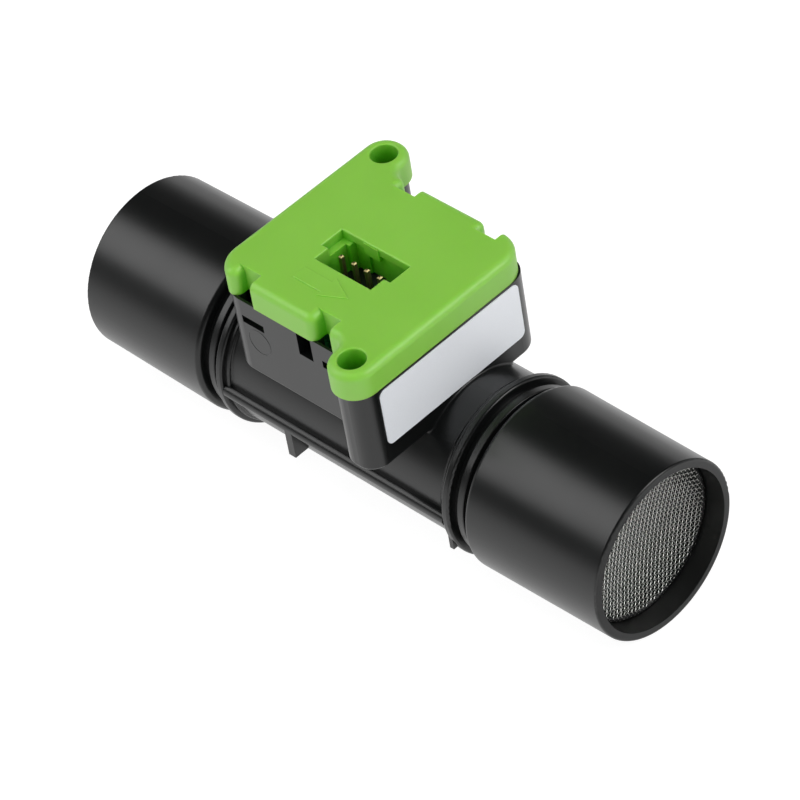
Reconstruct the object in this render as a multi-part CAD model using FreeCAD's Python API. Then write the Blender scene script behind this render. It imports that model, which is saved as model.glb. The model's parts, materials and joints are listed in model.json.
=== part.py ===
import FreeCAD, Part
import math
import os

os.makedirs("parts", exist_ok=True)
V = FreeCAD.Vector

# Flow tube along X, inlet face at X = 0, sizes in mm
TUBE_LENGTH = 81.0
CONE_MOUTH_RADIUS = 10.95
CONE_TAPER = 1 / 40
CONE_RIM_ROUND = 0.3
CONE_BACK_ROUND = 0.6
GROOVE_WALL = 0.75
GROOVE_WIDTH = 2.55
STEP_HEIGHT = 0.6
STEP_WIDTH = 1.0
STEP_GAP = 0.75
STEP_ROUND = 0.15
FLANGE_RADIUS = 11.0
FLANGE_THICKNESS = 1.05
FLANGE_ROUND = 0.3
COLLAR_RADIUS = 10.4
COLLAR_WIDTH = 0.7
COLLAR_FILLET = 0.25
TUBE_RADIUS = 10.0

# Inside of the tube
RIM_WIDTH = 1.03
SCREEN_DEPTH = 2.6
SCREEN_THICKNESS = 0.3
SCREEN_DISH = 0.8
SCREEN_PITCH = 1.7
SCREEN_RIDGE = 0.5
SCREEN_FRAME = 0.5
PORT_BORE_RADIUS = 9.0
TUBE_BORE_RADIUS = 8.4
SHOULDER_RADIUS = 8.0
NARROWING_LENGTH = 3.0
RESTRICTOR_LENGTH = 12.0
RESTRICTOR_WALL = 0.6
RESTRICTOR_PITCH = 1.8
RESTRICTOR_VANE = 0.4

# Fins beside the tube and the foot plates below them
FIN_HALF_SPAN = 11.0
FIN_TOP = 0.38
FIN_THICKNESS = 1.75
FIN_EDGE_FLAT = 0.15
FOOT_DROP = 3.1
FOOT_THICKNESS = 1.1
FOOT_SETBACK = 6.95
PLATE_THICKNESS = 0.6
PLATE_INSET = 0.5
PLATE_DROP = 3.45

# Head, measured from its own centre line
HEAD_OFFSET = -0.4
HEAD_END_GAP = 3.3
HEAD_BOTTOM = 7.65
FLOOR_RISE = 0.4
SENSOR_HEIGHT = 3.0
JOINT_RISE = 5.0
COVER_HEIGHT = 3.52
EAR_RADIUS = 2.8
EAR_END_GAP = 0.15
EAR_REACH = 1.67
EAR_STRAIGHT = 0.07
EAR_HOLE_RADIUS = 1.62
COVER_HALF_LENGTH = 13.45
COVER_HALF_WIDTH = 11.6
COVER_CORNER = 3.7
COVER_TOP_ROUND = 0.95
COVER_WALL = 1.2
COVER_PLATE = 1.5
COVER_EDGE_BREAK = 0.2
NOTCH_MOUTH_ROUND = 1.0
NOTCH_DEPTH = 2.0
NOTCH_DEPTH_REAR = 1.7
NOTCH_FROM_END = (3.45, 6.3)
NOTCH_FROM_EAR = (-5.3, -2.4)
COLUMN_INSET = 0.55
SIDE_INSET = 0.15
BOX_END_STEP = 0.05
BOX_CORNER = 2.9
BOX_WALL = 1.3
BOX_BOTTOM_ROUND = 0.35
REBATE_LIP = 0.35
REBATE_DEPTH = 1.6
NECK_FILLET = 0.25

# Snap arms of the cover and the windows they catch in
ARM_THICKNESS = 1.0
ARM_INSET = 0.3
ARM_NOSE = 0.8
ARM_NOSE_HEIGHT = 0.5
WINDOW_FROM_END = (3.7, 7.1)
WINDOW_FROM_EAR = (-4.75, -1.35)
WINDOW_DROP = 3.35
WINDOW_HEIGHT = 1.0
KEYWAY_SPAN = (-0.75, 1.45)

# Connector well in the cover
WELL_HALF_LENGTH = 4.35
WELL_FRONT = -4.05
WELL_BACK = 1.2
WING_HALF_LENGTH = 5.3
WING_FRONT = -1.95
WING_DEPTH = 1.3
WELL_WALL = 0.9
SHELF_END = -3.8
SHELF_WIDTH = 0.6
LATCH_SPAN = (-1.9, 0.4)
LATCH_REACH = 0.12
LATCH_TOP = 0.25
LATCH_HEIGHT = 1.65
LATCH_POCKET = 0.7
UNDERCUT_DROP = 1.1
UNDERCUT_DEPTH = 0.4

# Flow arrow on the cover
ARROW_TAIL = -4.15
ARROW_NECK = 0.1
ARROW_TIP = 3.55
ARROW_Y = -6.7
ARROW_SHAFT_HALF = 1.0
ARROW_HEAD_HALF = 1.7
ARROW_RELIEF = 0.12
ARROW_EDGE_ROUND = 0.1

# Electronics
BOARD_END_GAP = 0.25
BOARD_HALF_WIDTH = 8.2
BOARD_THICKNESS = 1.6
BOARD_CORNER = 0.8
LEDGE_WIDTH = 1.0
HEADER_HEIGHT = 1.6
HEADER_HALF_LENGTH = 5.9
HEADER_FRONT = -4.7
HEADER_BACK = 2.4
PIN_COUNT = 4
PIN_PITCH = 2.0
PIN_SIZE = 0.5
PIN_Y = -1.4
PIN_SINK = 0.85
PIN_CHAMFER = 0.14
PIN_FOOT_GAP = 0.1
PIN_HOLE_RADIUS = 0.45
TAP_FROM_END = 1.8
TAP_RADIUS = 0.6
SEAL_RING_RADIUS = 1.25
SEAL_CORD_RADIUS = 0.48
SENSOR_END_GAP = 0.8
SENSOR_HALF_WIDTH = 3.0
CHANNEL_HALF_WIDTH = 1.1
CHANNEL_DEPTH = 1.2
DIE_SIZE = (2.4, 1.6, 0.6)
CONTROLLER = (-5.2, 5.3, 4.0, 4.0, 0.9)
REGULATOR = (5.2, 5.3, 2.9, 1.7, 1.1)
CHIP_COUNT = 4
CHIP_SPACING = 2.4
CHIP_FIRST_Y = -5.0
CHIP_FROM_END = 1.9
CAPACITOR_SIZE = (1.6, 0.8, 0.8)
RESISTOR_SIZE = (1.6, 0.8, 0.45)

# Label on the outlet end of the head
LABEL_LENGTH = 21.9
LABEL_CENTRE_Y = -1.95
LABEL_MARGIN = 0.3
LABEL_CORNER = 0.8
LABEL_THICKNESS = 0.12

# Clearances between pieces
FIT = 0.05
PIN_FIT = 0.02
HEADER_FIT = 0.1

# Sizes that follow from the ones above
TUBE_MID = TUBE_LENGTH / 2
HEAD_X = TUBE_MID + HEAD_OFFSET
BOX_FLOOR = TUBE_RADIUS + FLOOR_RISE
BOARD_BOTTOM = BOX_FLOOR + SENSOR_HEIGHT
HEAD_JOINT = BOARD_BOTTOM + JOINT_RISE
HEAD_TOP = HEAD_JOINT + COVER_HEIGHT
EAR_X = COVER_HALF_LENGTH - EAR_RADIUS - EAR_END_GAP
EAR_Y = COVER_HALF_WIDTH + EAR_REACH
EAR_SIDE = EAR_X - EAR_RADIUS
EAR_FILLET = EAR_REACH - EAR_STRAIGHT
BOX_OUTLET_END = COVER_HALF_LENGTH + BOX_END_STEP
NOTCH_BOTTOM = COVER_HALF_WIDTH - NOTCH_DEPTH
NOTCH_BOTTOM_REAR = COVER_HALF_WIDTH - NOTCH_DEPTH_REAR
NOTCH_SPANS = (
    [x - COVER_HALF_LENGTH for x in NOTCH_FROM_END],
    [x + EAR_SIDE for x in NOTCH_FROM_EAR],
)
WINDOW_SPANS = (
    [x - COVER_HALF_LENGTH for x in WINDOW_FROM_END],
    [x + EAR_SIDE for x in WINDOW_FROM_EAR],
)
WINDOW_BOTTOM = HEAD_JOINT - WINDOW_DROP
COLLAR_END = TUBE_MID - BOX_OUTLET_END - HEAD_END_GAP
FLANGE_END = COLLAR_END - COLLAR_WIDTH
FLANGE_START = FLANGE_END - FLANGE_THICKNESS
CONE_LENGTH = FLANGE_START - GROOVE_WIDTH
CONE_BACK_RADIUS = CONE_MOUTH_RADIUS + CONE_LENGTH * CONE_TAPER / 2
MOUTH_RADIUS = CONE_MOUTH_RADIUS - RIM_WIDTH
SCREEN_SEAT = SCREEN_DEPTH + SCREEN_THICKNESS
SHOULDER_X = TUBE_MID + RESTRICTOR_LENGTH / 2
FIN_BOTTOM = FIN_TOP - FIN_THICKNESS
FIN_ROUND = (FIN_THICKNESS - FIN_EDGE_FLAT) / 2
COVER_CEILING = HEAD_TOP - COVER_PLATE
BOX_HALF_WIDTH = COVER_HALF_WIDTH - SIDE_INSET
COLUMN_RADIUS = EAR_RADIUS - COLUMN_INSET
BOX_INLET_END = -EAR_X - COLUMN_RADIUS
BOARD_HALF_LENGTH = -BOX_INLET_END - BOX_WALL - BOARD_END_GAP
BOARD_TOP = BOARD_BOTTOM + BOARD_THICKNESS
SENSOR_HALF_LENGTH = BOARD_HALF_LENGTH - LEDGE_WIDTH - SENSOR_END_GAP
TAP_OFFSET = SENSOR_HALF_LENGTH - TAP_FROM_END
CAPACITOR_X = CHIP_FROM_END - BOARD_HALF_LENGTH
RESISTOR_X = BOARD_HALF_LENGTH - CHIP_FROM_END
HEADER_TOP = BOARD_TOP + HEADER_HEIGHT
PIN_TIP = HEAD_TOP - PIN_SINK
PIN_FOOT = BOARD_BOTTOM + PIN_FOOT_GAP
WELL_BOTTOM = HEADER_TOP + HEADER_FIT
WELL_REAR = WELL_BACK + LATCH_POCKET + WELL_WALL
LABEL_BOTTOM = TUBE_RADIUS + LABEL_MARGIN
LABEL_TOP = HEAD_JOINT - LABEL_MARGIN
BIG = 200.0


def rounded_wire(corners, place):
    """Closed wire through (u, v, radius) corners, each corner rounded by its radius."""
    spots = []
    count = len(corners)
    for i in range(count):
        u, v, radius = corners[i]
        here = V(u, v, 0)
        if radius == 0:
            spots.append((here, None, here))
            continue
        to_last = (V(corners[i - 1][0], corners[i - 1][1], 0) - here).normalize()
        following = corners[(i + 1) % count]
        to_next = (V(following[0], following[1], 0) - here).normalize()
        half = to_last.getAngle(to_next) / 2
        middle = (to_last + to_next).normalize()
        reach = radius / math.tan(half)
        top = here + middle * (radius / math.sin(half) - radius)
        spots.append((here + to_last * reach, top, here + to_next * reach))
    edges = []
    for i in range(count):
        start, top, end = spots[i]
        if top is not None:
            edges.append(Part.Arc(place(start), place(top), place(end)).toShape())
        following = spots[(i + 1) % count][0]
        if (following - end).Length > 1e-6:
            edges.append(Part.makeLine(place(end), place(following)))
    return Part.Wire(edges)


def plan_prism(corners, bottom, top):
    """Upright prism over a plan outline given in the head's own centre frame."""
    wire = rounded_wire(corners, lambda p: V(p.x + HEAD_X, p.y, bottom))
    return Part.Face(wire).extrude(V(0, 0, top - bottom))


def turned(corners):
    """Outline of a half plan followed by the same half turned by 180 degrees."""
    return list(corners) + [(-u, -v, radius) for u, v, radius in corners]


def spun(corners):
    """Solid turned round the tube axis from (x, radius, rounding) corners."""
    wire = rounded_wire(corners, lambda p: V(p.x, 0, p.y))
    return Part.Face(wire).revolve(V(0, 0, 0), V(1, 0, 0), 360)


def block(x_span, y_span, z_span):
    """Box in the head's own centre frame."""
    size = (x_span[1] - x_span[0], y_span[1] - y_span[0], z_span[1] - z_span[0])
    return Part.makeBox(size[0], size[1], size[2], V(HEAD_X + x_span[0], y_span[0], z_span[0]))


def chip(x, y, size, bottom):
    """Small box part centred at x, y with its underside at the given height."""
    half_x = size[0] / 2
    half_y = size[1] / 2
    return block((x - half_x, x + half_x), (y - half_y, y + half_y), (bottom, bottom + size[2]))


def upright(x, y, radius, bottom, top):
    """Upright cylinder in the head's own centre frame."""
    return Part.makeCylinder(radius, top - bottom, V(HEAD_X + x, y, bottom))


def half_turn(shape):
    """Copy of a shape turned by 180 degrees about the head's upright centre line."""
    copy = shape.copy()
    copy.rotate(V(HEAD_X, 0, 0), V(0, 0, 1), 180)
    return copy


def both_ways(shapes):
    """The shapes and their copies turned by 180 degrees about the head."""
    return list(shapes) + [half_turn(shape) for shape in shapes]


def round_edges(solid, radius, wanted):
    """Fillet every edge of the solid for which wanted(edge) is true."""
    edges = [edge for edge in solid.Edges if wanted(edge)]
    return solid.makeFillet(radius, edges)


def flat_at(edge, height):
    """True for an edge lying in the level plane at the given height."""
    box = edge.BoundBox
    return abs(box.ZMin - height) < 1e-4 and abs(box.ZMax - height) < 1e-4


def save(name, shape):
    """Write one closed solid to its own file."""
    solids = shape.removeSplitter().Solids
    if len(solids) != 1 or not solids[0].isValid():
        raise RuntimeError(name + " is not one valid solid")
    solids[0].exportStep("parts/" + name + ".step")
    return solids[0]


def tube_half_profile():
    """Outer corners of the inlet half of the tube from mouth to middle."""
    groove = PORT_BORE_RADIUS + GROOVE_WALL
    step_end = FLANGE_START - STEP_GAP
    step_start = step_end - STEP_WIDTH
    return [
        (0, CONE_MOUTH_RADIUS, CONE_RIM_ROUND),
        (CONE_LENGTH, CONE_BACK_RADIUS, CONE_BACK_ROUND),
        (CONE_LENGTH, groove, 0),
        (step_start, groove, 0),
        (step_start, groove + STEP_HEIGHT, STEP_ROUND),
        (step_end, groove + STEP_HEIGHT, STEP_ROUND),
        (step_end, groove, 0),
        (FLANGE_START, groove, 0),
        (FLANGE_START, FLANGE_RADIUS, FLANGE_ROUND),
        (FLANGE_END, FLANGE_RADIUS, FLANGE_ROUND),
        (FLANGE_END, COLLAR_RADIUS, 0),
        (COLLAR_END, COLLAR_RADIUS, FLANGE_ROUND),
        (COLLAR_END, TUBE_RADIUS, COLLAR_FILLET),
    ]


def bore_corners():
    """Inner corners of the whole tube, mouth to mouth."""
    narrow_start = FLANGE_START - NARROWING_LENGTH / 2
    narrow_end = narrow_start + NARROWING_LENGTH
    inlet = [
        (SCREEN_SEAT, PORT_BORE_RADIUS),
        (narrow_start, PORT_BORE_RADIUS),
        (narrow_end, TUBE_BORE_RADIUS),
    ]
    shoulder = [(SHOULDER_X, TUBE_BORE_RADIUS), (SHOULDER_X, SHOULDER_RADIUS)]
    outlet = [
        (TUBE_LENGTH - narrow_end, SHOULDER_RADIUS),
        (TUBE_LENGTH - narrow_start, PORT_BORE_RADIUS),
        (TUBE_LENGTH - SCREEN_SEAT, PORT_BORE_RADIUS),
    ]
    mouth_in = [(-1, MOUTH_RADIUS), (SCREEN_SEAT, MOUTH_RADIUS)]
    mouth_out = [(TUBE_LENGTH - SCREEN_SEAT, MOUTH_RADIUS), (TUBE_LENGTH + 1, MOUTH_RADIUS)]
    radii = mouth_in + inlet + shoulder + outlet + mouth_out
    return [(-1, 0, 0)] + [(x, r, 0) for x, r in radii] + [(TUBE_LENGTH + 1, 0, 0)]


def tube_outside():
    """Outside of the flow tube as a solid bar."""
    half = tube_half_profile()
    mirrored = [(TUBE_LENGTH - x, r, rounding) for x, r, rounding in reversed(half)]
    return spun([(0, 0, 0)] + half + mirrored + [(TUBE_LENGTH, 0, 0)])


def on_fin_edge(edge):
    """True for the four long outer edges of the fins."""
    return edge.BoundBox.XLength > 1


def side_fins():
    """Fins along both sides of the tube and the foot plates below them."""
    length = TUBE_LENGTH - 2 * FLANGE_END
    depth = 2 * FIN_HALF_SPAN
    fin = Part.makeBox(length, depth, FIN_THICKNESS, V(FLANGE_END, -FIN_HALF_SPAN, FIN_BOTTOM))
    fin = round_edges(fin, FIN_ROUND, on_fin_edge)
    foot_start = TUBE_MID - FOOT_SETBACK - FOOT_THICKNESS / 2
    foot = Part.makeBox(
        FOOT_THICKNESS, depth, FOOT_DROP + FIN_THICKNESS / 2,
        V(foot_start, -FIN_HALF_SPAN, FIN_BOTTOM - FOOT_DROP),
    )
    half = FIN_HALF_SPAN - PLATE_INSET
    low = FIN_BOTTOM - PLATE_DROP
    plate = Part.makeBox(PLATE_THICKNESS, 2 * half, -low, V(TUBE_LENGTH - FLANGE_END, -half, low))
    return [fin, foot, plate]


def box_plan():
    """Plan of the head box with its two screw columns."""
    width = BOX_HALF_WIDTH
    reach = EAR_Y + COLUMN_RADIUS
    side = EAR_X - COLUMN_RADIUS
    round_end = COLUMN_RADIUS - 0.001
    return [
        (BOX_INLET_END, -width, BOX_CORNER),
        (side, -width, EAR_FILLET),
        (side, -reach, round_end),
        (BOX_OUTLET_END, -reach, round_end),
        (BOX_OUTLET_END, width, BOX_CORNER),
        (-side, width, EAR_FILLET),
        (-side, reach, round_end),
        (BOX_INLET_END, reach, round_end),
    ]


def head_box():
    """Outside of the head box with its lower edge rounded."""
    prism = plan_prism(box_plan(), HEAD_BOTTOM, HEAD_JOINT)
    return round_edges(prism, BOX_BOTTOM_ROUND, lambda edge: flat_at(edge, HEAD_BOTTOM))


def on_neck(edge):
    """True for the edges where the head box meets the round of the middle tube."""
    points = edge.discretize(5)
    if min(p.z for p in points) < 1:
        return False
    return all(abs(math.hypot(p.y, p.z) - TUBE_RADIUS) < 1e-3 for p in points)


def head_hollow():
    """Space in the head box above and below the board, with the ledge between."""
    half_length = -BOX_INLET_END - BOX_WALL
    half_width = BOX_HALF_WIDTH - BOX_WALL
    upper = block((-half_length, half_length), (-half_width, half_width), (BOARD_BOTTOM, BIG))
    low_length = BOARD_HALF_LENGTH - LEDGE_WIDTH
    low_width = BOARD_HALF_WIDTH - LEDGE_WIDTH
    lower = block((-low_length, low_length), (-low_width, low_width), (BOX_FLOOR, BIG))
    return [upper, lower]


def wall_windows():
    """Snap windows and the keyway through both long walls of the head box."""
    depth = (-BIG, -BOX_HALF_WIDTH + BOX_WALL + FIT)
    heights = (WINDOW_BOTTOM, WINDOW_BOTTOM + WINDOW_HEIGHT)
    cuts = [block(span, depth, heights) for span in WINDOW_SPANS]
    cuts.append(block(KEYWAY_SPAN, depth, (WINDOW_BOTTOM, BIG)))
    rebate = (-BOX_HALF_WIDTH + REBATE_LIP, -BOX_HALF_WIDTH + BOX_WALL + FIT)
    for span in NOTCH_SPANS:
        cuts.append(block(span, rebate, (HEAD_JOINT - REBATE_DEPTH, BIG)))
    return both_ways(cuts)


def tap_positions():
    """Both bypass taps along the tube, in the head's own centre frame."""
    return (-TAP_OFFSET, TAP_OFFSET)


def seal_pocket(x):
    """Round pocket in the floor that takes one tap seal."""
    radius = SEAL_RING_RADIUS + SEAL_CORD_RADIUS + FIT
    depth = 2 * SEAL_CORD_RADIUS + FIT
    return upright(x, 0, radius, BOX_FLOOR - depth, BIG)


def flow_body():
    """The black moulding: gas ports, tube, fins and the box of the head."""
    outside = tube_outside().fuse([head_box()] + side_fins()).removeSplitter()
    outside = round_edges(outside, NECK_FILLET, on_neck)
    cuts = head_hollow() + wall_windows() + [spun(bore_corners())]
    cuts += both_ways([upright(EAR_X, -EAR_Y, EAR_HOLE_RADIUS, 0, BIG)])
    for x in tap_positions():
        cuts.append(upright(x, 0, TAP_RADIUS, 0, BIG))
        cuts.append(seal_pocket(x))
    return outside.cut(cuts)


def dished_disc(seat, step):
    """Disc with a flat rim on its seat and a shallow dish that sinks into the bore."""
    along = V(step, 0, 0)
    disc = Part.makeCylinder(MOUTH_RADIUS - FIT, SCREEN_THICKNESS, V(seat, 0, 0), along)
    edge = PORT_BORE_RADIUS - FIT
    ball_radius = (edge ** 2 + SCREEN_DISH ** 2) / (2 * SCREEN_DISH)
    ball = Part.makeSphere(ball_radius, V(seat + step * (ball_radius - SCREEN_DISH), 0, 0))
    bowl = ball.common(Part.makeCylinder(edge, 2 * SCREEN_DISH, V(seat, 0, 0), V(-step, 0, 0)))
    hollow = bowl.copy()
    hollow.translate(along * SCREEN_THICKNESS)
    return disc.fuse(bowl).cut(hollow)


def screen(seat, step):
    """Wire screen as a dished disc with square gaps between ridges."""
    gap = SCREEN_PITCH - SCREEN_RIDGE
    reach = MOUTH_RADIUS - FIT - SCREEN_FRAME
    rows = int(reach / SCREEN_PITCH) + 1
    half_depth = SCREEN_DISH + 1
    gaps = []
    for i in range(-rows, rows + 1):
        for j in range(-rows, rows + 1):
            y = i * SCREEN_PITCH
            z = j * SCREEN_PITCH
            if math.hypot(abs(y) + gap / 2, abs(z) + gap / 2) < reach:
                corner = V(seat - half_depth, y - gap / 2, z - gap / 2)
                gaps.append(Part.makeBox(2 * half_depth, gap, gap, corner))
    return dished_disc(seat, step).cut(gaps)


def flow_restrictor():
    """Grid insert that evens the flow between the taps, pushed in against the shoulder."""
    radius = TUBE_BORE_RADIUS - FIT
    start = V(SHOULDER_X - RESTRICTOR_LENGTH, 0, 0)
    along = V(1, 0, 0)
    bar = Part.makeCylinder(radius, RESTRICTOR_LENGTH, start, along)
    core = Part.makeCylinder(radius - RESTRICTOR_WALL, RESTRICTOR_LENGTH, start, along)
    vanes = []
    rows = int((radius - RESTRICTOR_WALL) / RESTRICTOR_PITCH)
    for i in range(-rows, rows + 1):
        low = i * RESTRICTOR_PITCH - RESTRICTOR_VANE / 2
        flat = V(start.x, -radius, low)
        standing = V(start.x, low, -radius)
        vanes.append(Part.makeBox(RESTRICTOR_LENGTH, 2 * radius, RESTRICTOR_VANE, flat))
        vanes.append(Part.makeBox(RESTRICTOR_LENGTH, RESTRICTOR_VANE, 2 * radius, standing))
    grid = vanes[0].fuse(vanes[1:])
    return bar.cut(core.cut(grid))


def tap_seal(x):
    """Sealing ring in its pocket round one bypass tap."""
    centre = V(HEAD_X + x, 0, BOX_FLOOR - SEAL_CORD_RADIUS)
    return Part.makeTorus(SEAL_RING_RADIUS, SEAL_CORD_RADIUS, centre)


def sensor_block():
    """Moulded block that leads the bypass from tap to tap under the board."""
    half_length = SENSOR_HALF_LENGTH
    half_width = SENSOR_HALF_WIDTH
    body = block((-half_length, half_length), (-half_width, half_width), (BOX_FLOOR, BOARD_BOTTOM))
    ends = TAP_OFFSET + TAP_RADIUS
    floor = BOARD_BOTTOM - CHANNEL_DEPTH
    sides = (-CHANNEL_HALF_WIDTH, CHANNEL_HALF_WIDTH)
    cuts = [block((-ends, ends), sides, (floor, BIG))]
    for x in tap_positions():
        cuts.append(upright(x, 0, TAP_RADIUS, 0, BIG))
    return body.cut(cuts)


def pin_positions():
    """Contact pins in a row, in the head's own centre frame."""
    return [PIN_PITCH * (i - (PIN_COUNT - 1) / 2) for i in range(PIN_COUNT)]


def circuit_board():
    """Board on its ledge, with the plated holes of the contact pins."""
    corners = [
        (-BOARD_HALF_LENGTH, -BOARD_HALF_WIDTH, BOARD_CORNER),
        (BOARD_HALF_LENGTH, -BOARD_HALF_WIDTH, BOARD_CORNER),
    ]
    board = plan_prism(turned(corners), BOARD_BOTTOM, BOARD_TOP)
    return board.cut([upright(x, PIN_Y, PIN_HOLE_RADIUS, 0, BIG) for x in pin_positions()])


def connector_base():
    """Black header base under the well, with a square hole for each pin."""
    sides = (-HEADER_HALF_LENGTH, HEADER_HALF_LENGTH)
    base = block(sides, (HEADER_FRONT, HEADER_BACK), (BOARD_TOP, HEADER_TOP))
    half = PIN_SIZE / 2 + PIN_FIT
    holes = [block((x - half, x + half), (PIN_Y - half, PIN_Y + half), (0, BIG)) for x in pin_positions()]
    return base.cut(holes)


def contact_pin(x):
    """Square contact pin with a chamfered tip."""
    half = PIN_SIZE / 2
    pin = block((x - half, x + half), (PIN_Y - half, PIN_Y + half), (PIN_FOOT, PIN_TIP))
    tip = [edge for edge in pin.Edges if flat_at(edge, PIN_TIP)]
    return pin.makeChamfer(PIN_CHAMFER, tip)


def cover_half_plan():
    """Half plan of the cover with one screw ear."""
    reach = EAR_Y + EAR_RADIUS
    return [
        (-COVER_HALF_LENGTH, -COVER_HALF_WIDTH, COVER_CORNER),
        (EAR_X - EAR_RADIUS, -COVER_HALF_WIDTH, EAR_FILLET),
        (EAR_X - EAR_RADIUS, -reach, EAR_RADIUS - 0.001),
        (COVER_HALF_LENGTH, -reach, EAR_RADIUS - 0.001),
    ]


def notch_cuts(bottom):
    """Snap notches in the front side of the cover, cut in to the given depth."""
    cuts = []
    for start, end in NOTCH_SPANS:
        corners = [
            (start, -BIG, 0),
            (end, -BIG, 0),
            (end, -bottom, 0),
            (start, -bottom, 0),
        ]
        cuts.append(plan_prism(corners, 0, BIG))
    return cuts


def on_notch_mouth(edge):
    """True for the upright edge on the inlet side of each notch mouth."""
    box = edge.BoundBox
    if box.ZLength < 1 or box.XLength > 1e-4:
        return False
    front = [HEAD_X + span[0] for span in NOTCH_SPANS]
    rear = [HEAD_X - span[1] for span in NOTCH_SPANS]
    edges = front if box.YMin < 0 else rear
    outside = abs(box.YMin) > NOTCH_BOTTOM_REAR + 0.01
    return outside and any(abs(box.XMin - x) < 1e-4 for x in edges)


def on_top_outline(edge):
    """True for the top edges of the cover except those on the back and outlet wall of a notch."""
    if not flat_at(edge, HEAD_TOP):
        return False
    box = edge.BoundBox
    depth = NOTCH_BOTTOM if box.YMin < 0 else NOTCH_BOTTOM_REAR
    on_back = box.YLength < 1e-4 and abs(abs(box.YMin) - depth) < 1e-4
    front = [HEAD_X + span[1] for span in NOTCH_SPANS]
    rear = [HEAD_X - span[0] for span in NOTCH_SPANS]
    walls = front if box.YMin < 0 else rear
    on_wall = box.XLength < 1e-4 and any(abs(box.XMin - x) < 1e-4 for x in walls)
    return not on_back and not on_wall


def cover_hollow():
    """Space under the cover, leaving a wall round each notch."""
    inner = NOTCH_BOTTOM - COVER_WALL
    outer = COVER_HALF_WIDTH - COVER_WALL
    end = COVER_HALF_LENGTH - COVER_WALL
    bay_start = NOTCH_SPANS[0][1] + COVER_WALL
    bay_end = NOTCH_SPANS[1][0] - COVER_WALL
    corners = [
        (-end, -inner, 0),
        (bay_start, -inner, 0),
        (bay_start, -outer, 0),
        (bay_end, -outer, 0),
        (bay_end, -inner, 0),
        (end, -inner, 0),
    ]
    return plan_prism(turned(corners), HEAD_JOINT - 1, COVER_CEILING)


def well_cuts():
    """Connector well with its shallow wings, its shelf, the undercut and the latch pocket."""
    deep = [
        (-WELL_HALF_LENGTH, WELL_FRONT, 0),
        (WELL_HALF_LENGTH, WELL_FRONT, 0),
        (WELL_HALF_LENGTH, WELL_BACK, 0),
        (SHELF_END, WELL_BACK, 0),
        (SHELF_END, WELL_BACK - SHELF_WIDTH, 0),
        (-WELL_HALF_LENGTH, WELL_BACK - SHELF_WIDTH, 0),
    ]
    wings = (-WING_HALF_LENGTH, WING_HALF_LENGTH)
    shallow = block(wings, (WING_FRONT, WELL_BACK), (HEAD_TOP - WING_DEPTH, BIG))
    top = HEAD_TOP - LATCH_TOP - LATCH_HEIGHT
    pocket = block(LATCH_SPAN, (WELL_BACK - 1, WELL_BACK + LATCH_POCKET), (0, top))
    behind = (WELL_BACK - 1, WELL_BACK + UNDERCUT_DEPTH)
    undercut = block((SHELF_END, WELL_HALF_LENGTH), behind, (0, HEAD_TOP - UNDERCUT_DROP))
    return [plan_prism(deep, 0, BIG), shallow, pocket, undercut]


def well_wall():
    """Wall of the connector well, from the cover plate down to the header."""
    half = WING_HALF_LENGTH + WELL_WALL
    return block((-half, half), (WELL_FRONT - WELL_WALL, WELL_REAR), (WELL_BOTTOM, COVER_CEILING))


def snap_arms():
    """Four arms under the notches, each with a nose that catches in a window."""
    shapes = []
    back = -NOTCH_BOTTOM + ARM_THICKNESS
    nose_tip = -NOTCH_BOTTOM - ARM_NOSE
    bottom = WINDOW_BOTTOM + FIT
    for span, window in zip(NOTCH_SPANS, WINDOW_SPANS):
        width = (span[0] + ARM_INSET, span[1] - ARM_INSET)
        nose = (max(width[0], window[0] + FIT), min(width[1], window[1] - FIT))
        shapes.append(block(width, (-NOTCH_BOTTOM, back), (bottom, HEAD_JOINT + 1)))
        shapes.append(block(nose, (nose_tip, back), (bottom, bottom + ARM_NOSE_HEIGHT)))
    return both_ways(shapes)


def on_top_opening(edge):
    """True for the top edges of the connector well and of the ear holes."""
    if not flat_at(edge, HEAD_TOP):
        return False
    middle = edge.BoundBox.Center
    x = abs(middle.x - HEAD_X)
    y = abs(middle.y)
    at_hole = math.hypot(x - EAR_X, y - EAR_Y) < 0.1
    at_well = x < WING_HALF_LENGTH + 0.1 and WELL_FRONT - 0.1 < middle.y < WELL_BACK + 0.1
    return at_hole or at_well


def flow_arrow():
    """Low arrow on the cover that points the way the gas flows."""
    corners = [
        (ARROW_TAIL, ARROW_Y - ARROW_SHAFT_HALF, 0),
        (ARROW_NECK, ARROW_Y - ARROW_SHAFT_HALF, 0),
        (ARROW_NECK, ARROW_Y - ARROW_HEAD_HALF, 0),
        (ARROW_TIP, ARROW_Y, 0),
        (ARROW_NECK, ARROW_Y + ARROW_HEAD_HALF, 0),
        (ARROW_NECK, ARROW_Y + ARROW_SHAFT_HALF, 0),
        (ARROW_TAIL, ARROW_Y + ARROW_SHAFT_HALF, 0),
    ]
    top = HEAD_TOP + ARROW_RELIEF
    prism = plan_prism(corners, HEAD_TOP - ARROW_RELIEF, top)
    return round_edges(prism, ARROW_EDGE_ROUND, lambda edge: flat_at(edge, top))


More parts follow.
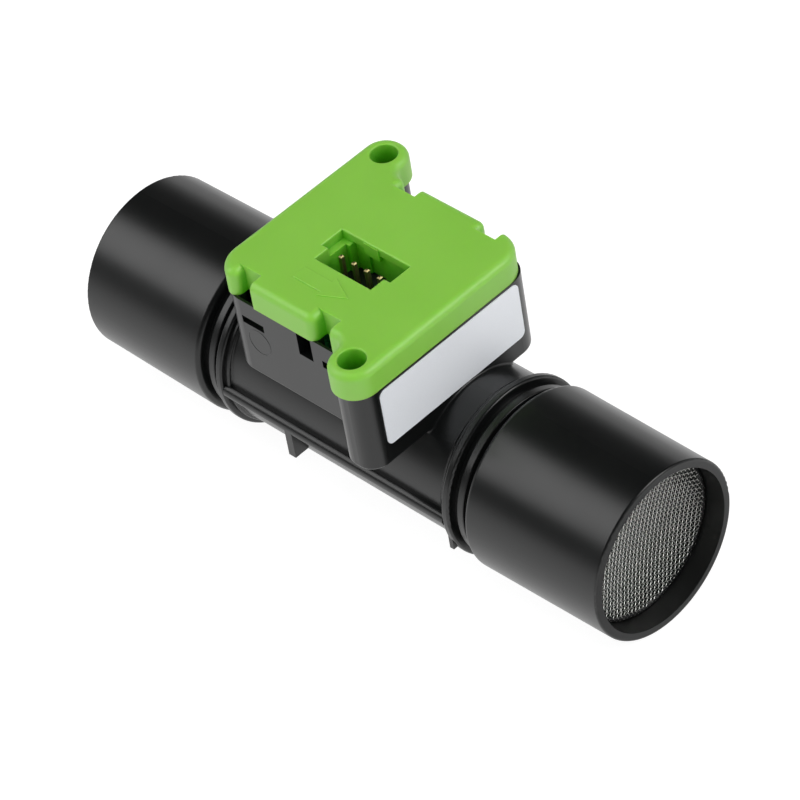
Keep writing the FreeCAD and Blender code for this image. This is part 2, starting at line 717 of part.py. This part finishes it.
def cover():
    """The green cover: plate, skirt, ears, connector well and snap arms."""
    notches = notch_cuts(NOTCH_BOTTOM) + [half_turn(cut) for cut in notch_cuts(NOTCH_BOTTOM_REAR)]
    shell = plan_prism(turned(cover_half_plan()), HEAD_JOINT, HEAD_TOP).cut(notches)
    shell = round_edges(shell, NOTCH_MOUTH_ROUND, on_notch_mouth)
    shell = round_edges(shell, COVER_TOP_ROUND, on_top_outline)
    shell = shell.cut(cover_hollow()).fuse([well_wall()] + snap_arms() + [flow_arrow()])
    holes = both_ways([upright(EAR_X, -EAR_Y, EAR_HOLE_RADIUS, 0, BIG)])
    shell = shell.cut(well_cuts() + holes)
    shell = round_edges(shell, COVER_EDGE_BREAK, on_top_opening)
    reach = (WELL_BACK - LATCH_REACH, WELL_BACK + LATCH_POCKET)
    top = HEAD_TOP - LATCH_TOP
    bar = block(LATCH_SPAN, reach, (top - LATCH_HEIGHT, top))
    return shell.fuse(bar)


def label():
    """Blank label on the outlet end of the head."""
    face_x = HEAD_X + BOX_OUTLET_END
    half_length = LABEL_LENGTH / 2
    half_height = (LABEL_TOP - LABEL_BOTTOM) / 2
    centre_z = (LABEL_TOP + LABEL_BOTTOM) / 2
    corners = [
        (-half_length, -half_height, LABEL_CORNER),
        (half_length, -half_height, LABEL_CORNER),
    ]
    wire = rounded_wire(turned(corners), lambda p: V(face_x, LABEL_CENTRE_Y + p.x, centre_z + p.y))
    return Part.Face(wire).extrude(V(LABEL_THICKNESS, 0, 0))


save("flow_body", flow_body())
save("inlet_screen", screen(SCREEN_SEAT, -1))
save("outlet_screen", screen(TUBE_LENGTH - SCREEN_SEAT, 1))
save("flow_restrictor", flow_restrictor())
for number, tap_x in enumerate(tap_positions(), 1):
    save("tap_seal_%d" % number, tap_seal(tap_x))
save("sensor_block", sensor_block())
save("sensor_die", chip(0, 0, DIE_SIZE, BOARD_BOTTOM - DIE_SIZE[2]))
save("circuit_board", circuit_board())
save("connector_base", connector_base())
for number, pin_x in enumerate(pin_positions(), 1):
    save("contact_pin_%d" % number, contact_pin(pin_x))
save("controller_chip", chip(CONTROLLER[0], CONTROLLER[1], CONTROLLER[2:], BOARD_TOP))
save("regulator_chip", chip(REGULATOR[0], REGULATOR[1], REGULATOR[2:], BOARD_TOP))
for number in range(1, CHIP_COUNT + 1):
    row_y = CHIP_FIRST_Y + CHIP_SPACING * (number - 1)
    save("capacitor_%d" % number, chip(CAPACITOR_X, row_y, CAPACITOR_SIZE, BOARD_TOP))
    save("resistor_%d" % number, chip(RESISTOR_X, row_y, RESISTOR_SIZE, BOARD_TOP))
save("cover", cover())
save("label", label())
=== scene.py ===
"""Gas flow meter: finishes, woven screens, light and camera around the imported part."""

import json
import math

import bmesh
import bpy
import numpy as np
from mathutils import Matrix, Vector


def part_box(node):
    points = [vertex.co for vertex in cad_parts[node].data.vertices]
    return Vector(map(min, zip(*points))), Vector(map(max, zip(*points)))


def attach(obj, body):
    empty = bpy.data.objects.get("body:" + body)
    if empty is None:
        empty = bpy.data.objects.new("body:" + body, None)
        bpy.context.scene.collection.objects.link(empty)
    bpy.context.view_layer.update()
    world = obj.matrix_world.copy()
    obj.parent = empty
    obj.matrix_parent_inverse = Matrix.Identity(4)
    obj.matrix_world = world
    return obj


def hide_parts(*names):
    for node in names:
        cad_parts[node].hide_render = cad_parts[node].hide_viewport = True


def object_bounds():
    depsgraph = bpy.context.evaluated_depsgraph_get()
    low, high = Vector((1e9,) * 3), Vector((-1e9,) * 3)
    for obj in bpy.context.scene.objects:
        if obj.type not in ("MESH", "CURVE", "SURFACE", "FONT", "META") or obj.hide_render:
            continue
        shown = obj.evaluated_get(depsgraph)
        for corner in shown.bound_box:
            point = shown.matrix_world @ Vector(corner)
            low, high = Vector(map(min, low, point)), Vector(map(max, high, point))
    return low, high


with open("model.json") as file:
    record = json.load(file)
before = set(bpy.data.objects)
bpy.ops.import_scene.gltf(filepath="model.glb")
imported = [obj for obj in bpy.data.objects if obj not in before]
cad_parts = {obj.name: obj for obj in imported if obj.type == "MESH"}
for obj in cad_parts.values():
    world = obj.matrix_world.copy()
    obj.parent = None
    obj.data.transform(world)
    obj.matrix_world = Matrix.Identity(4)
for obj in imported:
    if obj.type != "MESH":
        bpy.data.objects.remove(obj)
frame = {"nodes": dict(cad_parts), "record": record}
cad_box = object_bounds()
MM = 0.001

# Woven wire screens, sizes in mm and degrees. The real pitches are about 0.34 and 0.39: at that size
# the render blurs the wires together, so the cloth is drawn a fifth coarser, as coarse as it needs to show.
WARP_PITCH = 0.41
WEFT_PITCH = 0.47
WIRE_WIDTH = 0.1
WIRE_HEIGHT = 0.15
WEAVE_TURN = 24.0
WIRE_SIDES = 5
STEPS_PER_CROSSING = 3
SCREEN_THICKNESS = 0.3
SCREEN_RIM = 0.92

# Weld bead that holds the edge of each screen, in mm
WELD_INNER = 9.3
WELD_OUTER = 9.9
WELD_HEIGHT = 0.13

# Witness rings left by the ejector pins on the long walls of the head box, in mm
RING_RADIUS = 1.7
RING_CORD = 0.03
RING_X = 32.6
RING_Z = 13.04
BOX_WALL_Y = 11.45
HEAD_X = 40.1

# Facets round a ring and round its section
RING_STEPS = 128
SECTION_STEPS = 10

# Rays that test how open a spot is, for the painted shade in the recesses of two finishes
OPENNESS_SAMPLES = 8

# Camera of the photograph, in mm and degrees
CAMERA_PLACE = (316.805, -221.399, 327.882)
CAMERA_AIM = (42.722, -1.443, 2.133)
CAMERA_ROLL = -10.4875
CAMERA_LENS = 191.294
SENSOR_WIDTH = 36.0
CLIP_START = 10.0

# White sweep, lengths in mm: its glow to the camera, its mirror image as a painted pool of light near and far,
# and the painted shadow spot under the outlet
FLOOR_HALF = 1500.0
SWEEP_SEEN = 0.88
SWEEP_LIT = 0.85
SWEEP_FAR = 0.3
SWEEP_NEAR = 60.0
SWEEP_REACH = 300.0
SHADE_PLACE = (96.0, 3.0, -11.0)
SHADE_LEVEL = 0.3
SHADE_CORE = 8.0
SHADE_REACH = 30.0

# Studio walls: heights over which they dim, their light there, and how it spreads round from the backdrop
WALL_RISE = (-0.05, 0.4)
WALL_LIGHT = (1.3, 0.04)
BACKDROP_WAY = (-0.78, 0.626, 0.0)
BACKDROP_SPREAD = (-0.2, 0.7)
BACKDROP_SHARE = (0.12, 1.0)

# Lamps, aimed at one spot in mm: name, direction, distance and size in m, radiance, and whether it gives glare
LAMP_AIM = (40.0, 0.0, 8.0)
LAMPS = (
    ("left_softbox", (-0.572, -0.482, 0.663), 1.1, 0.77, 2.75, True),
    ("right_softbox", (0.68, 0.46, 0.572), 1.1, 0.54, 6.0, True),
    ("front_fill", (0.45, -0.75, 0.48), 1.1, 0.65, 3.9, False),
    ("top_fill", (0.3, -0.05, 0.95), 1.0, 0.66, 3.15, False),
)


def linear(colour):
    """Linear RGBA of an sRGB hex colour."""
    shades = [int(colour[i:i + 2], 16) / 255 for i in (0, 2, 4)]
    return [c / 12.92 if c <= 0.04045 else ((c + 0.055) / 1.055) ** 2.4 for c in shades] + [1.0]


def add(tree, kind, settings=None, **sockets):
    """Add a node, set its settings, and fill its sockets with values or links."""
    made = tree.nodes.new("ShaderNode" + kind)
    for name, value in (settings or {}).items():
        setattr(made, name, value)
    for name, value in sockets.items():
        key = int(name[1:]) if name[0] == "i" and name[1:].isdigit() else name.replace("_", " ")
        if isinstance(value, bpy.types.NodeSocket):
            tree.links.new(value, made.inputs[key])
        else:
            made.inputs[key].default_value = value
    return made


def new_material(name):
    """Empty node material and its tree."""
    material = bpy.data.materials.new(name)
    material.use_nodes = True
    material.node_tree.nodes.clear()
    return material, material.node_tree


def satin_black_abs():
    """ABS moulded in a satin tool: deep black, broad soft highlights, faint cloudy gloss."""
    material, tree = new_material("satin_black_abs")
    place = add(tree, "TexCoord").outputs["Object"]
    # Cloud width 6 mm: uneven gloss where the melt cooled against the tool
    clouds = add(tree, "TexNoise", Vector=place, Scale=1 / (6 * MM), Detail=3.0)
    gloss = add(tree, "MapRange", Value=clouds.outputs["Fac"], To_Min=0.27, To_Max=0.34)
    # Grain 0.12 mm: the fine spark texture of the tool
    grain = add(tree, "TexNoise", Vector=place, Scale=1 / (0.12 * MM), Detail=2.0)
    bump = add(tree, "Bump", Strength=0.06, Distance=0.01 * MM, Height=grain.outputs["Fac"])
    tint = add(tree, "MixRGB", Fac=clouds.outputs["Fac"], Color1=linear("0B0C0C"), Color2=linear("0F1010"))
    shader = add(
        tree, "BsdfPrincipled",
        Base_Color=tint.outputs["Color"], Roughness=gloss.outputs["Result"],
        IOR=1.5, Normal=bump.outputs["Normal"],
    )
    add(tree, "OutputMaterial", Surface=shader.outputs[0])
    return material


def lime_abs():
    """Lime green ABS, moulded satin: light bleeds a little way in, and recesses get painted shade in deep
    green.
    """
    material, tree = new_material("lime_abs")
    place = add(tree, "TexCoord").outputs["Object"]
    # Clouds 9 mm wide: slight streaks of pigment
    clouds = add(tree, "TexNoise", Vector=place, Scale=1 / (9 * MM), Detail=3.0)
    tint = add(tree, "MixRGB", Fac=clouds.outputs["Fac"], Color1=linear("7DB93D"), Color2=linear("86C247"))
    # Openness within 7 mm: painted shade, a deeper green mixed in where a recess is closed in
    openness = add(tree, "AmbientOcclusion", {"samples": OPENNESS_SAMPLES}, Distance=7 * MM)
    painted_shade = add(
        tree, "MapRange", {"interpolation_type": "SMOOTHSTEP"},
        Value=openness.outputs["AO"], From_Min=0.1, From_Max=0.75,
    )
    # Painted shade: deep green 46AA08 takes over the base colour in recesses
    base_and_painted_shade = add(
        tree, "MixRGB", Fac=painted_shade.outputs["Result"], Color1=linear("46AA08"), Color2=tint.outputs["Color"],
    )
    # Grain 0.15 mm: satin tool finish
    grain = add(tree, "TexNoise", Vector=place, Scale=1 / (0.15 * MM), Detail=2.0)
    bump = add(tree, "Bump", Strength=0.06, Distance=0.01 * MM, Height=grain.outputs["Fac"])
    gloss = add(tree, "MapRange", Value=clouds.outputs["Fac"], To_Min=0.46, To_Max=0.54)
    shader = add(
        tree, "BsdfPrincipled",
        Base_Color=base_and_painted_shade.outputs["Color"], Roughness=gloss.outputs["Result"],
        IOR=1.54, Specular_IOR_Level=0.75, Normal=bump.outputs["Normal"],
        Subsurface_Weight=0.5, Subsurface_Radius=(0.6, 1.0, 0.25), Subsurface_Scale=1.2 * MM,
    )
    add(tree, "OutputMaterial", Surface=shader.outputs[0])
    return material


def stainless_wire():
    """Drawn stainless wire: bright grey metal with a short glint on each crown, and painted shade down in the
    weave.
    """
    material, tree = new_material("stainless_wire")
    place = add(tree, "TexCoord").outputs["Object"]
    # Patches 0.8 mm long: drawing marks that dull some crowns
    marks = add(tree, "TexNoise", Vector=place, Scale=1 / (0.8 * MM), Detail=2.0)
    gloss = add(tree, "MapRange", Value=marks.outputs["Fac"], To_Min=0.28, To_Max=0.31)
    # Openness within 0.3 mm: painted shade, near black 1E1E1C, where the wires cross and sink into the weave
    openness = add(tree, "AmbientOcclusion", {"samples": OPENNESS_SAMPLES}, Distance=0.3 * MM)
    painted_shade = add(tree, "MapRange", Value=openness.outputs["AO"], From_Min=0.5, From_Max=0.9)
    tint = add(tree, "MixRGB", Fac=painted_shade.outputs["Result"], Color1=linear("1E1E1C"), Color2=linear("FAFAF5"))
    shader = add(
        tree, "BsdfPrincipled",
        Base_Color=tint.outputs["Color"], Metallic=1.0, Roughness=gloss.outputs["Result"],
    )
    add(tree, "OutputMaterial", Surface=shader.outputs[0])
    return material


def silver_film():
    """Silver polyester label film: even pale grey with a soft sheen and a fine grain."""
    material, tree = new_material("silver_film")
    place = add(tree, "TexCoord").outputs["Object"]
    # Grain 0.08 mm: metal flake under the varnish
    flake = add(tree, "TexNoise", Vector=place, Scale=1 / (0.08 * MM), Detail=1.0)
    tint = add(tree, "MixRGB", Fac=flake.outputs["Fac"], Color1=linear("E2E5EA"), Color2=linear("EAEDF1"))
    shader = add(
        tree, "BsdfPrincipled",
        Base_Color=tint.outputs["Color"], Metallic=0.1, Roughness=0.42, IOR=1.5,
    )
    add(tree, "OutputMaterial", Surface=shader.outputs[0])
    return material


def gold_plate():
    """Gold plated brass pin: warm bright metal with a faint plating bloom."""
    material, tree = new_material("gold_plate")
    place = add(tree, "TexCoord").outputs["Object"]
    # Bloom 0.3 mm: plating thickness varies along the pin
    bloom = add(tree, "TexNoise", Vector=place, Scale=1 / (0.3 * MM), Detail=2.0)
    gloss = add(tree, "MapRange", Value=bloom.outputs["Fac"], To_Min=0.4, To_Max=0.52)
    shader = add(
        tree, "BsdfPrincipled",
        Base_Color=linear("A2966A"), Metallic=1.0, Roughness=gloss.outputs["Result"],
    )
    add(tree, "OutputMaterial", Surface=shader.outputs[0])
    return material


def speckled(name, dark, light, speck, rough, bump_height):
    """Moulded or fired filler material: two close shades in specks, with a matching fine bump."""
    material, tree = new_material(name)
    place = add(tree, "TexCoord").outputs["Object"]
    specks = add(tree, "TexNoise", Vector=place, Scale=1 / (speck * MM), Detail=3.0)
    tint = add(tree, "MixRGB", Fac=specks.outputs["Fac"], Color1=linear(dark), Color2=linear(light))
    gloss = add(tree, "MapRange", Value=specks.outputs["Fac"], To_Min=rough - 0.06, To_Max=rough + 0.06)
    bump = add(tree, "Bump", Strength=0.3, Distance=bump_height * MM, Height=specks.outputs["Fac"])
    shader = add(
        tree, "BsdfPrincipled",
        Base_Color=tint.outputs["Color"], Roughness=gloss.outputs["Result"],
        IOR=1.5, Normal=bump.outputs["Normal"],
    )
    add(tree, "OutputMaterial", Surface=shader.outputs[0])
    return material


def link_piece(name, mesh, material):
    """Object for an added piece that rides on the part's body."""
    mesh.shade_smooth()
    mesh.materials.append(material)
    piece = bpy.data.objects.new(name, mesh)
    bpy.context.scene.collection.objects.link(piece)
    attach(piece, "root")
    return piece


def woven_wires(radius, rim, dish, facing):
    """Rings of points for every wire of a round, dished piece of plain weave, in mm.

    The cloth lies in the YZ plane and sinks along -X times facing.
    """
    edge = radius - rim
    ball = (edge ** 2 + dish ** 2) / (2 * dish)
    turn = math.radians(WEAVE_TURN)
    warp_across = np.array([math.cos(turn), math.sin(turn)])
    weft_across = np.array([-math.sin(turn), math.cos(turn)])
    lift = WIRE_HEIGHT / 2
    angles = np.arange(WIRE_SIDES) * 2 * math.pi / WIRE_SIDES
    wires = []
    families = (
        (warp_across, weft_across, WARP_PITCH, WEFT_PITCH, 1),
        (weft_across, warp_across, WEFT_PITCH, WARP_PITCH, -1),
    )
    for across, along, pitch, other_pitch, first in families:
        count = int(radius / pitch)
        for number in range(-count, count + 1):
            offset = number * pitch
            half = math.sqrt(max(radius ** 2 - offset ** 2, 0))
            steps = int(2 * half / other_pitch * STEPS_PER_CROSSING)
            if steps < 4:
                continue
            run = np.linspace(-half, half, steps + 1)
            wave = first * (-1) ** number * lift * np.cos(math.pi * run / other_pitch)
            middle = np.outer(np.full(len(run), offset), across) + np.outer(run, along)
            inside = np.minimum(np.hypot(middle[:, 0], middle[:, 1]), edge)
            sink = np.sqrt(ball ** 2 - inside ** 2) - (ball - dish)
            side = np.cos(angles) * WIRE_WIDTH / 2
            top = np.sin(angles) * WIRE_HEIGHT / 2
            points = np.empty((len(run), WIRE_SIDES, 3))
            points[:, :, 0] = facing * ((wave - sink)[:, None] + top[None, :])
            points[:, :, 1] = middle[:, 0, None] + side[None, :] * across[0]
            points[:, :, 2] = middle[:, 1, None] + side[None, :] * across[1]
            wires.append(points)
    return wires


def wire_cloth(name, node, facing, material):
    """Woven wire cloth in the place of a CAD screen; facing is 1 where its mouth is at +X."""
    low, high = [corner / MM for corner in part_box(node)]
    radius = (high.y - low.y) / 2 - WIRE_WIDTH / 2
    dish = high.x - low.x - SCREEN_THICKNESS
    front = high.x if facing > 0 else low.x
    middle_plane = front - facing * SCREEN_THICKNESS / 2
    points, faces = [], []
    for wire in woven_wires(radius, SCREEN_RIM, dish, facing):
        start = len(points)
        rings = len(wire)
        points.extend(map(tuple, (wire.reshape(-1, 3) + [middle_plane, 0, 0]) * MM))
        for ring in range(rings - 1):
            base = start + ring * WIRE_SIDES
            for side in range(WIRE_SIDES):
                after = (side + 1) % WIRE_SIDES
                faces.append((base + side, base + after, base + WIRE_SIDES + after, base + WIRE_SIDES + side))
        last = start + (rings - 1) * WIRE_SIDES
        faces.append(tuple(range(start + WIRE_SIDES - 1, start - 1, -1)))
        faces.append(tuple(range(last, last + WIRE_SIDES)))
    mesh = bpy.data.meshes.new(name)
    mesh.from_pydata(points, [], faces)
    outside = bmesh.new()
    outside.from_mesh(mesh)
    bmesh.ops.recalc_face_normals(outside, faces=outside.faces)
    outside.to_mesh(mesh)
    outside.free()
    cloth = link_piece(name, mesh, material)
    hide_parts(node)


def oval_ring(name, centre, axis, radius, half_width, half_height, material):
    """Moulded ring with an oval section, turned about an axis; sizes in mm."""
    axis = Vector(axis)
    across = axis.orthogonal().normalized()
    points, faces = [], []
    for step in range(RING_STEPS):
        out = Matrix.Rotation(2 * math.pi * step / RING_STEPS, 3, axis) @ across
        for turn in range(SECTION_STEPS):
            angle = 2 * math.pi * turn / SECTION_STEPS
            reach = radius + half_width * math.cos(angle)
            points.append((Vector(centre) + out * reach + axis * (half_height * math.sin(angle))) * MM)
            here = step * SECTION_STEPS + turn
            beside = step * SECTION_STEPS + (turn + 1) % SECTION_STEPS
            count = RING_STEPS * SECTION_STEPS
            ahead = (here + SECTION_STEPS) % count
            faces.append((here, ahead, (beside + SECTION_STEPS) % count, beside))
    mesh = bpy.data.meshes.new(name)
    mesh.from_pydata(points, [], faces)
    return link_piece(name, mesh, material)


def screen_beads(material):
    """Weld beads round both screens, with only the crowns of the wires showing through."""
    radius = (WELD_INNER + WELD_OUTER) / 2
    half_width = (WELD_OUTER - WELD_INNER) / 2
    for node, facing in (("inlet_screen", -1), ("outlet_screen", 1)):
        low, high = [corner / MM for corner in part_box(node)]
        front = high.x if facing > 0 else low.x
        centre = (front - facing * SCREEN_THICKNESS / 2, 0, 0)
        oval_ring(node + "_bead", centre, (1, 0, 0), radius, half_width, WELD_HEIGHT, material)


def ejector_rings(material):
    """Faint ejector pin rings, one on each long wall, half a turn apart."""
    for number, side in ((1, 1), (2, -1)):
        centre = (HEAD_X + side * (RING_X - HEAD_X), -side * BOX_WALL_Y, RING_Z)
        oval_ring("ejector_ring_%d" % number, centre, (0, 1, 0), RING_RADIUS, RING_CORD, RING_CORD, material)


def dress_nodes():
    """Give every CAD node its finish."""
    black = satin_black_abs()
    lime = lime_abs()
    wire = stainless_wire()
    film = silver_film()
    gold = gold_plate()
    # Bottom of the connector well: near black and almost without shine
    header = speckled("matt_header_lcp", "0E0E0E", "151515", 0.2, 0.5, 0.01)
    # Grid deep in the bore: pale grey, undyed, softly shining
    insert = speckled("natural_grey_abs", "BDBCB8", "C6C5C0", 2.0, 0.45, 0.01)
    # Sensor block: dark and even, a shade duller than the body
    block = speckled("matt_black_pbt", "141414", "1C1C1C", 0.3, 0.5, 0.01)
    # Seals: black and dull, with no clear highlight
    rubber = speckled("black_seal_rubber", "121212", "1A1A1A", 0.15, 0.6, 0.01)
    # Sensor die: dark grey with a mirror-like face
    silicon = speckled("polished_silicon", "55565C", "63646B", 0.4, 0.15, 0.002)
    # Circuit board: glossy bottle green
    board = speckled("green_solder_mask", "0F5A2A", "146A33", 0.5, 0.3, 0.01)
    # Chips: charcoal with a fine dull grain
    resin = speckled("moulded_chip_resin", "131314", "1B1B1C", 0.1, 0.55, 0.01)
    # Capacitors: matt tan
    fired = speckled("fired_tan_ceramic", "8E7253", "9C8163", 0.1, 0.5, 0.005)
    # Resistors: black with a slight gloss
    glazed = speckled("glazed_black_ceramic", "161618", "1E1E21", 0.1, 0.3, 0.005)
    finishes = {
        "body_plastic": black, "cover_plastic": lime, "wire_mesh": wire, "label_film": film,
        "contact_gold": gold, "header_plastic": header, "restrictor_plastic": insert,
        "block_plastic": block, "seal_rubber": rubber, "die_silicon": silicon,
        "board_laminate": board, "chip_resin": resin, "capacitor_ceramic": fired,
        "resistor_ceramic": glazed,
    }
    for part in frame["record"]["subparts"]:
        materials = frame["nodes"][part["node"]].data.materials
        materials.clear()
        materials.append(finishes[part["material_slot"]])
    return finishes


def make_floor():
    """White sweep paper under the part: white to the eye, still darkened by the part's shadow; in reflections
    it shows a painted pool of light and a painted shadow spot.
    """
    low = cad_box[0].z
    half = FLOOR_HALF * MM
    corners = [(-half, -half, low), (half, -half, low), (half, half, low), (-half, half, low)]
    mesh = bpy.data.meshes.new("sweep")
    mesh.from_pydata(corners, [], [(0, 1, 2, 3)])
    floor = bpy.data.objects.new("sweep", mesh)
    bpy.context.scene.collection.objects.link(floor)
    material, tree = new_material("white_sweep_paper")
    rays = add(tree, "LightPath")
    mirrored = add(
        tree, "Math", {"operation": "MAXIMUM"},
        i0=rays.outputs["Is Glossy Ray"], i1=rays.outputs["Is Transmission Ray"],
    )
    seen = add(tree, "Math", {"operation": "MAXIMUM"}, i0=rays.outputs["Is Camera Ray"], i1=mirrored.outputs[0])
    spot = add(tree, "NewGeometry").outputs["Position"]
    # Painted shadow and painted pool of light, seen only in reflections: the glow dims round a spot under the
    # outlet and falls off with distance
    away = add(tree, "VectorMath", {"operation": "DISTANCE"}, i0=spot, i1=[c * MM for c in SHADE_PLACE])
    shadow = add(
        tree, "MapRange", {"interpolation_type": "SMOOTHSTEP"},
        Value=away.outputs["Value"], From_Min=SHADE_CORE * MM, From_Max=SHADE_REACH * MM,
        To_Min=SHADE_LEVEL, To_Max=1.0,
    )
    painted_light_falloff = add(
        tree, "MapRange", {"interpolation_type": "SMOOTHSTEP"},
        Value=away.outputs["Value"], From_Min=SWEEP_NEAR * MM, From_Max=SWEEP_REACH * MM,
        To_Min=SWEEP_LIT, To_Max=SWEEP_FAR,
    )
    fall = add(tree, "Math", {"operation": "MULTIPLY"}, i0=shadow.outputs["Result"], i1=painted_light_falloff.outputs["Result"])
    image = add(tree, "Math", {"operation": "MULTIPLY"}, i0=mirrored.outputs[0], i1=fall.outputs[0])
    glow = add(
        tree, "Math", {"operation": "MULTIPLY_ADD"},
        i0=rays.outputs["Is Camera Ray"], i1=SWEEP_SEEN, i2=image.outputs[0],
    )
    shade = add(tree, "MixRGB", Fac=seen.outputs[0], Color1=linear("EDEDED"), Color2=linear("8E8E8E"))
    paper = add(tree, "BsdfDiffuse", Color=shade.outputs["Color"])
    white = add(tree, "Emission", Color=linear("FFFFFF"), Strength=glow.outputs[0])
    both = add(tree, "AddShader", i0=paper.outputs[0], i1=white.outputs[0])
    add(tree, "OutputMaterial", Surface=both.outputs[0])
    mesh.materials.append(material)


def make_world():
    """Studio around the part: white to the camera, bright at the horizon and dim overhead."""
    world = bpy.data.worlds.new("studio")
    bpy.context.scene.world = world
    world.use_nodes = True
    tree = world.node_tree
    tree.nodes.clear()
    rays = add(tree, "LightPath")
    direction = add(tree, "TexCoord").outputs["Generated"]
    height = add(tree, "SeparateXYZ", Vector=direction).outputs["Z"]
    rise = add(
        tree, "MapRange", {"interpolation_type": "SMOOTHSTEP"},
        Value=height, From_Min=WALL_RISE[0], From_Max=WALL_RISE[1], To_Min=WALL_LIGHT[0], To_Max=WALL_LIGHT[1],
    )
    behind = add(tree, "VectorMath", {"operation": "DOT_PRODUCT"}, i0=direction, i1=BACKDROP_WAY)
    spread = add(
        tree, "MapRange", {"interpolation_type": "SMOOTHSTEP"},
        Value=behind.outputs["Value"], From_Min=BACKDROP_SPREAD[0], From_Max=BACKDROP_SPREAD[1],
        To_Min=BACKDROP_SHARE[0], To_Max=BACKDROP_SHARE[1],
    )
    backdrop = add(tree, "Math", {"operation": "MULTIPLY"}, i0=rise.outputs[0], i1=spread.outputs[0])
    level = add(
        tree, "Math", {"operation": "MAXIMUM"},
        i0=backdrop.outputs[0], i1=rays.outputs["Is Camera Ray"],
    )
    sky = add(tree, "Background", Color=linear("FFFFFF"), Strength=level.outputs[0])
    add(tree, "OutputWorld", Surface=sky.outputs[0])


def softbox(name, place, aim, size, radiance, glare):
    """Square soft lamp, its power worked out from its radiance; a polarised one gives no glare."""
    lamp = bpy.data.lights.new(name, "AREA")
    lamp.shape = "SQUARE"
    lamp.size = size
    lamp.energy = radiance * math.pi * size * size
    lamp_object = bpy.data.objects.new(name, lamp)
    bpy.context.scene.collection.objects.link(lamp_object)
    lamp_object.visible_glossy = glare
    lamp_object.location = place
    lamp_object.rotation_euler = (Vector(aim) - Vector(place)).to_track_quat("-Z", "Y").to_euler()


def make_lights():
    """Large softboxes left, right, in front and overhead."""
    aim = Vector(LAMP_AIM) * MM
    for name, direction, distance, size, radiance, glare in LAMPS:
        softbox(name, aim + Vector(direction).normalized() * distance, aim, size, radiance, glare)


def make_camera():
    """Camera at the photograph's place, rolled as the photograph is."""
    camera = bpy.data.objects.new("camera", bpy.data.cameras.new("camera"))
    bpy.context.scene.collection.objects.link(camera)
    place = Vector(CAMERA_PLACE) * MM
    ahead = (Vector(CAMERA_AIM) * MM - place).normalized()
    level = ahead.to_track_quat("-Z", "Y")
    camera.rotation_mode = "QUATERNION"
    camera.rotation_quaternion = level @ Matrix.Rotation(math.radians(CAMERA_ROLL), 3, "Z").to_quaternion()
    camera.location = place
    camera.data.lens = CAMERA_LENS
    camera.data.sensor_width = SENSOR_WIDTH
    camera.data.clip_start = CLIP_START * MM
    bpy.context.scene.camera = camera


bpy.context.scene.view_settings.view_transform = "Standard"
finishes = dress_nodes()
wire_cloth("inlet_wire_cloth", "inlet_screen", -1, finishes["wire_mesh"])
wire_cloth("outlet_wire_cloth", "outlet_screen", 1, finishes["wire_mesh"])
screen_beads(finishes["body_plastic"])
ejector_rings(finishes["body_plastic"])
make_floor()
make_world()
make_lights()
make_camera()
